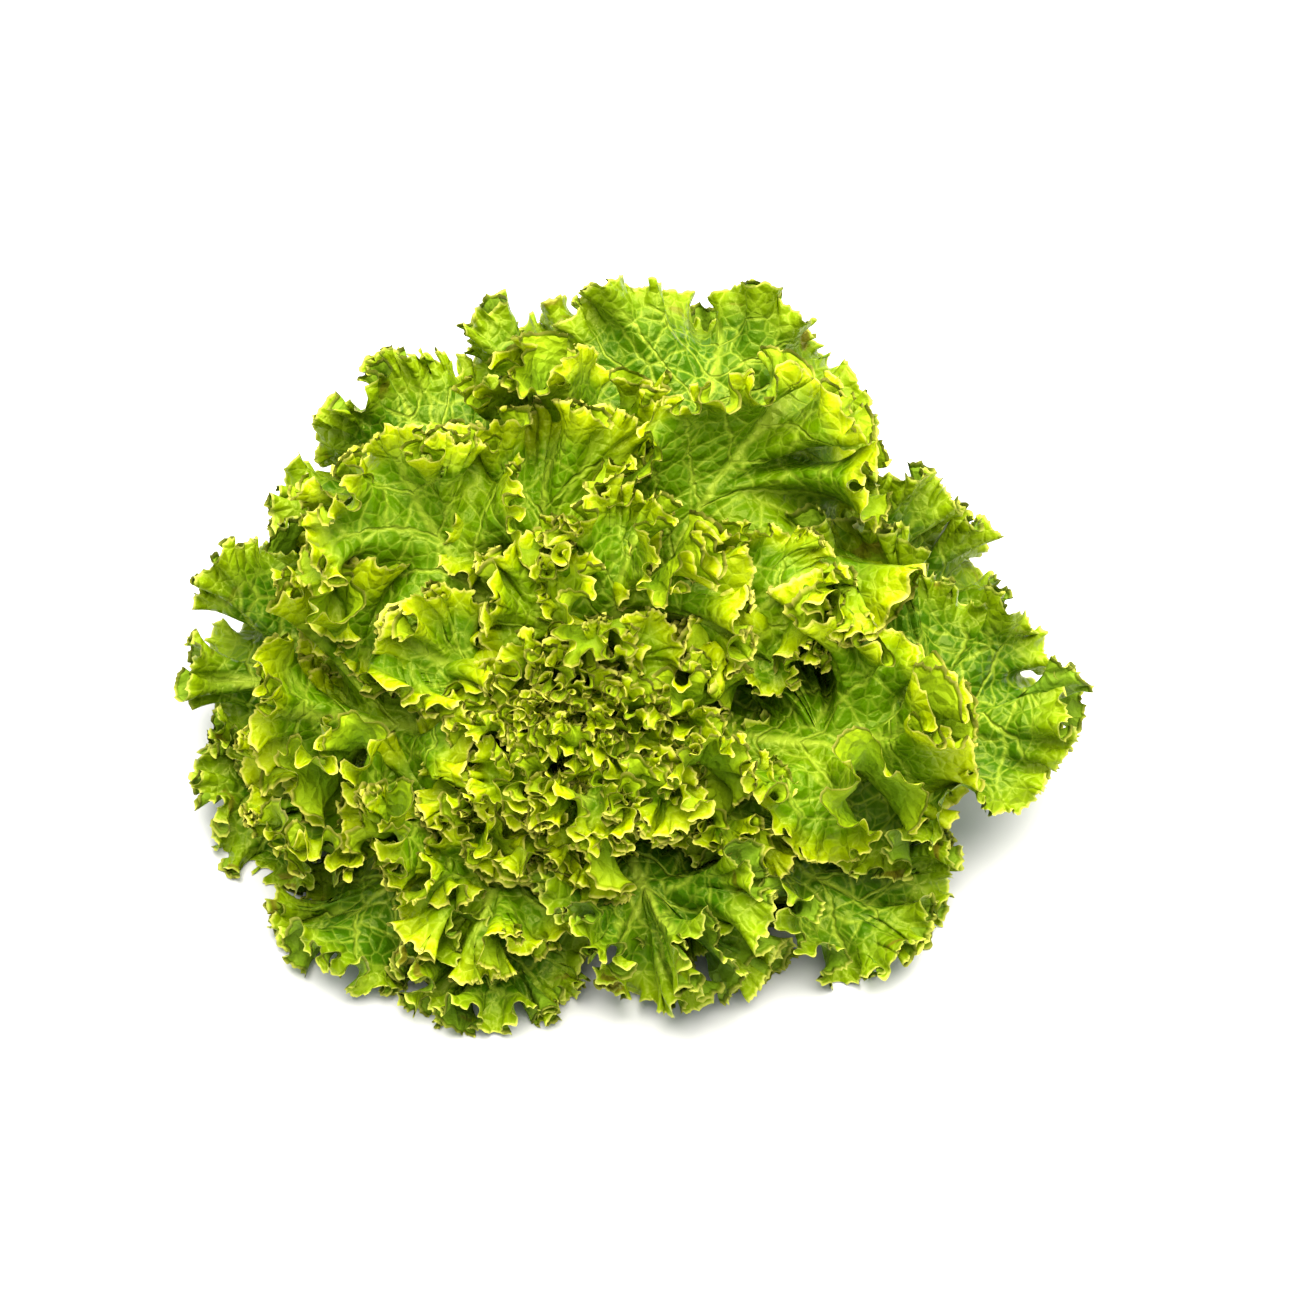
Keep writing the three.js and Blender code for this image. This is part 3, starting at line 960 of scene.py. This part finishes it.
STEM_RADIUS = 16.0  # at the cut
STEM_DOME = 18.0  # at the crown, and the height of the rounded top
STEM_TURNS = 180  # points round it
CUT_RINGS, SIDE_RINGS, DOME_RINGS = 14, 26, 16
CUT_BEVEL, CUT_HEIGHT = 0.6, 0.5  # how its edge is rounded, in and up
RIBS, RIB_TWIST, RIB_SWELL = 5, 9, 0.25
FIBRES, FIBRE_SWELL = 13, 0.14
SCAR_RISE, SCAR_WIDTH, SCAR_DEPTH = 2.6, 0.12, 0.45  # a spiral
HOLLOW = 0.35  # how high the middle of the cut is


def stem_rings():
    """Radius and height along the profile, by turns: the radius swells in five ribs
    and sinks along a spiral of leaf scars, and within the cut the height falls with
    the square of the radius, so the face is slightly hollow."""
    cut = np.linspace(0, STEM_RADIUS - CUT_BEVEL, CUT_RINGS)
    side = np.linspace(CUT_HEIGHT, CROWN[2], SIDE_RINGS)
    over = np.linspace(0, math.pi / 2, DOME_RINGS)[1:]
    flare = STEM_RADIUS + (STEM_DOME - STEM_RADIUS) * smooth(side / CROWN[2])
    radius = np.concatenate([cut, flare, STEM_DOME * np.cos(over)])
    height = np.concatenate([0 * cut, side, CROWN[2] + STEM_DOME * np.sin(over)])
    around = np.linspace(0, 2 * math.pi, STEM_TURNS, endpoint=False)
    turn, radius = np.meshgrid(around, radius)
    height = np.repeat(height[:, None], STEM_TURNS, 1)
    spiral = height / SCAR_RISE - turn / (2 * math.pi)
    scar = np.exp(-(((spiral - np.round(spiral)) / SCAR_WIDTH) ** 2))
    ribs = RIB_SWELL * np.sin(RIBS * turn + height / RIB_TWIST)
    fibres = FIBRE_SWELL * np.sin(FIBRES * turn)
    on_side = smooth(height / 3) * smooth((radius - 2) / 6)
    swollen = radius + (ribs + fibres - SCAR_DEPTH * scar) * on_side
    hollow = HOLLOW * (1 - (radius / STEM_RADIUS) ** 2) * (height < CUT_HEIGHT / 2)
    lean = height / CROWN[2]
    x = swollen * np.cos(turn) + CROWN[0] * lean
    y = swollen * np.sin(turn) + CROWN[1] * lean
    return np.stack([x, y, height + hollow], -1)


stem_mesh = closed_skin("ribbed_stem", stem_rings())
print("triangles in the stem:", len(stem_mesh.polygons))

# %% [markdown]
# ## Stem flesh
# The stem is pale and moist, with long fibres along its side. Its cut dries and turns
# brown first in the ring of vessels and at the rim. Height alone tells the cut from
# the side, so one material serves for both.

# %% Finish the stem
FIBRE_STRETCH = (900, 900, 60)  # fine across the stem, long up it
CUT_ZONE = (0.0006, 0.0012)  # the heights where the cut ends
VESSEL_RING, VESSEL_BLUR, VESSEL_EDGE = 0.68, 0.12, (0.02, 0.12)  # of the radius
PALE_SIDE, DARK_SIDE = screen(232, 236, 196), screen(196, 208, 132)
FRESH_CUT, DRIED_CUT = screen(226, 222, 176), screen(164, 112, 58)


def stem_finish():
    """Pale flesh. Under 1 mm of height it is the cut, with a brown ring of vessels two
    thirds of the way out, a dry rim and blots. Above it are streaks."""
    f = Finish("stem_flesh")
    here = f.node("TexCoord", output=3)
    x, y, z = f.node("SeparateXYZ", None, None, Vector=here)
    radius = calculate("SQRT", x * x + y * y) * (1 / (STEM_RADIUS * MM))
    stretched = f.node("VectorMath", {"operation": "MULTIPLY"}, _0=here, _1=FIBRE_STRETCH)
    streaks = f.noise(stretched, 1.0, 3.0)
    blots = f.noise(here, 160.0, 4.0)
    cut = 1 - z.ramp(*CUT_ZONE)
    from_ring = (radius - VESSEL_RING).absolute() + (blots - 0.5) * VESSEL_BLUR
    vessels = 1 - from_ring.ramp(*VESSEL_EDGE)
    rim = radius.ramp(0.82, 1.0)
    dried = (vessels * 0.6).or_more(rim * 0.45).or_more(blots.ramp(0.55, 0.75) * 0.5)
    side = f.blend(streaks.ramp(0.35, 0.7), DARK_SIDE, PALE_SIDE)
    colour = f.blend(cut, side, f.blend(dried, FRESH_CUT, DRIED_CUT))
    bump = f.node("Bump", Strength=0.5, Distance=0.0005, Height=streaks + blots)
    return f.done(f.node(
        "BsdfPrincipled", Base_Color=colour, Roughness=0.42 + cut * 0.2, Normal=bump,
        Subsurface_Weight=0.15, Subsurface_Radius=(0.004, 0.003, 0.001),
    ))


place_piece(stem_mesh, "stem_core", stem_finish(), "stem_flesh")
print("the cut face is", 2 * (STEM_RADIUS - CUT_BEVEL), "mm across")

# %% [markdown]
# ## The growing point
# In the very middle, the youngest leaves are still folded round one another. They
# are small and hardly seen, so one twisted, pleated skin stands for them all. It fits
# inside the first open heart leaf.

# %% The bud
BUD_BASE, BUD_TIP, BUD_RADIUS = 30.0, 47.0, 2.2
BUD_RINGS, BUD_TURNS = 60, 120
BUD_FOLDS, BUD_TWIST = 3, 0.9
WAVER_SIZE, WAVER_RATE = 0.04, 40
RIPPLE_SIZE, RIPPLE_UP, RIPPLE_ROUND = 0.16, 70, 9


def bud_rings():
    """Round the head's axis, the radius is a half sine of the height, with three
    overlapping folds: a saw-tooth of the turn that twists with the height. The edges
    of the folds ripple."""
    up, around = np.linspace(0, 1, BUD_RINGS), np.linspace(0, 2 * math.pi, BUD_TURNS, False)
    rise, turn = np.meshgrid(up, around, indexing="ij")
    twisted = BUD_FOLDS * turn / (2 * math.pi) + BUD_TWIST * rise
    twisted = twisted + WAVER_SIZE * np.sin(WAVER_RATE * rise)
    fold = (twisted - np.floor(twisted)) ** 3
    ripple = RIPPLE_SIZE * fold * np.sin(RIPPLE_UP * rise + RIPPLE_ROUND * turn)
    spindle = BUD_RADIUS * np.sin(math.pi * rise**0.8) ** 0.7
    radius = spindle * (0.8 + 0.22 * fold + ripple)
    across = unit(np.cross(LEAN, [1.0, 0, 0]))
    beyond = np.cross(LEAN, across)
    height = mix(BUD_BASE, BUD_TIP, rise)[..., None]
    sideways = np.cos(turn)[..., None] * across + np.sin(turn)[..., None] * beyond
    return CROWN + LEAN * height + sideways * radius[..., None]


def bud_finish():
    """Pale yellow-green, with blots from smooth noise."""
    f = Finish("bud_green")
    mottle = f.noise(f.node("TexCoord", output=3), 900.0, 3.0)
    colour = f.blend(mottle.ramp(0.3, 0.7), screen(176, 200, 20), screen(236, 240, 90))
    bump = f.node("Bump", Strength=0.5, Distance=0.0003, Height=mottle)
    return f.done(f.node("BsdfPrincipled", Base_Color=colour, Roughness=0.4, Normal=bump))


bud_mesh = closed_skin("folded_heart_bud", bud_rings())
print("triangles in the bud:", place_piece(bud_mesh, "heart_bud", bud_finish(), "heart_leaf"))

# %% [markdown]
# ## Table, light and camera
# The head lies on a plain pale table. One wide round lamp hangs over it, so that the
# shadows inside the frills stay soft, and light from all round fills them. The camera
# looks down at 45 degrees through a long lens, so far leaves hardly look smaller.

# %% The pale table
TABLE_REACH = 15  # metres from its middle
corners = [(-1, -1, 0), (1, -1, 0), (1, 1, 0), (-1, 1, 0)]
floor_mesh = bpy.data.meshes.new("pale_floor")
floor_mesh.from_pydata([Vector(c) * TABLE_REACH for c in corners], [], [(0, 1, 2, 3)])
floor = bpy.data.objects.new("pale_floor", floor_mesh)
bpy.context.scene.collection.objects.link(floor)
f = Finish("pale_floor")
paint = f.node("BsdfPrincipled", Roughness=0.6, Base_Color=(0.63, 0.634, 0.636, 1))
floor_mesh.materials.append(f.done(paint))
print("the table is", 2 * TABLE_REACH, "m wide")

# %% Lamp and surroundings
def aim(item, place, target):
    """Puts a lamp or a camera in its place, with its -Z axis towards the target."""
    bpy.context.scene.collection.objects.link(item)
    item.location = place
    item.rotation_euler = (target - item.location).to_track_quat("-Z", "Y").to_euler()


world = bpy.data.worlds.new("studio")
bpy.context.scene.world = world
world.use_nodes = True
surroundings = world.node_tree.nodes["Background"]
surroundings.inputs["Color"].default_value = (0.93, 1, 1, 1)
surroundings.inputs["Strength"].default_value = 0.88

lamp = bpy.data.lights.new("key", "AREA")
lamp.shape = "DISK"
lamp.size = 2.4
lamp.energy = 132
lamp.color = (1, 0.95, 0.88)
aim(bpy.data.objects.new("key", lamp), Vector((0.2, 0, 1.7)), Vector((0, 0, 0.05)))
print(f"the lamp is {lamp.size:.1f} m wide and has {lamp.energy:.0f} W")

# %% Camera
ELEVATION = math.radians(45)
DISTANCE = 1.096
TARGET = Vector((0.017, 0.017, 0.050))
camera_data = bpy.data.cameras.new("camera")
camera_data.lens = 85
camera_data.sensor_width = 36
camera = bpy.data.objects.new("camera", camera_data)
back = Vector((0, -math.cos(ELEVATION), math.sin(ELEVATION)))
aim(camera, TARGET + DISTANCE * back, TARGET)
bpy.context.scene.camera = camera
bpy.context.scene.view_settings.view_transform = "Standard"
print("the camera stands", DISTANCE, "m from the head")
